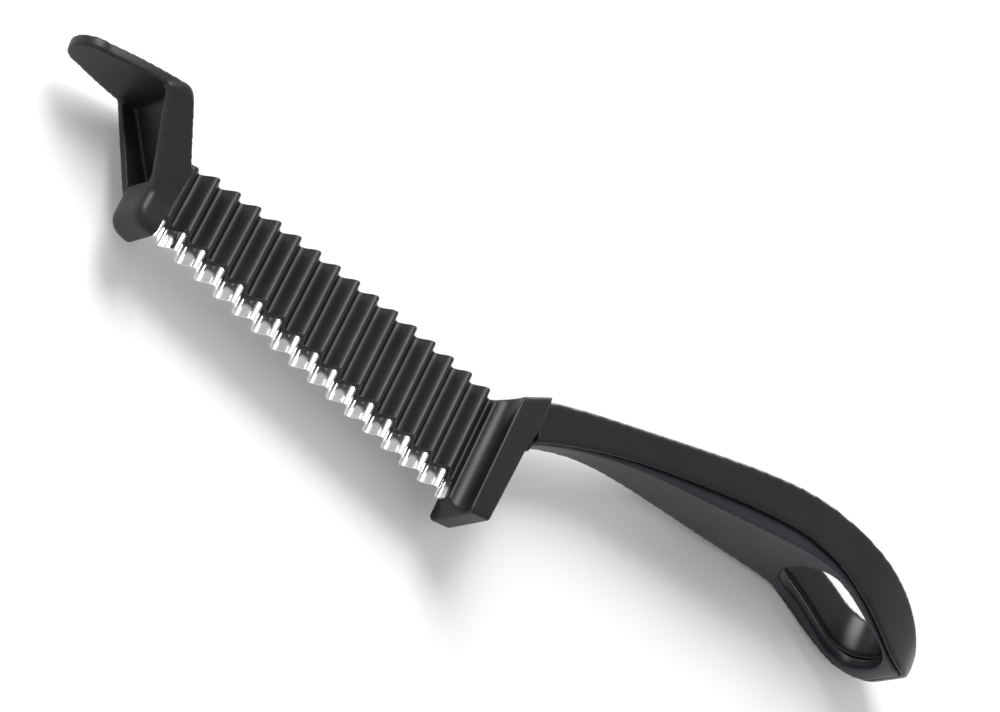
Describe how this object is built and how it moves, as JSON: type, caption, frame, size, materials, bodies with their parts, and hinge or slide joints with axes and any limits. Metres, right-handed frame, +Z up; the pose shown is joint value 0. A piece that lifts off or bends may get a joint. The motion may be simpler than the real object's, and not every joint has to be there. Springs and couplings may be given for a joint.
{
  "type": "ribbed hand tool with wavy steel strip",
  "caption": "Two-handed black hand tool: wavy steel strip held edge-out in a ribbed body, with a front finger rest and a bowed handle with a hanging loop.",
  "frame": {"origin": "middle of the footprint of the tool lying on its side, at floor height", "axes": "+X along the steel edge from the front rest towards the handle, +Y from the steel edge to the spine, +Z up out of the tool's side"},
  "size_m": [0.314, 0.0772, 0.03],
  "materials": {
    "black_plastic": "moulded satin black",
    "handle_plastic": "moulded satin black, slightly glossier",
    "insert_plastic": "smooth satin blue-black",
    "steel": "polished",
    "pin_steel": "plain"
  },
  "bodies": {
    "root": {"front_rest": "black_plastic", "handle_insert": "insert_plastic", "handle_shell": "handle_plastic", "head_block": "black_plastic", "ribbed_wall_far": "black_plastic", "ribbed_wall_near": "black_plastic", "steel_strip": "steel", "strip_pins": "pin_steel"}
  },
  "joints": []
}
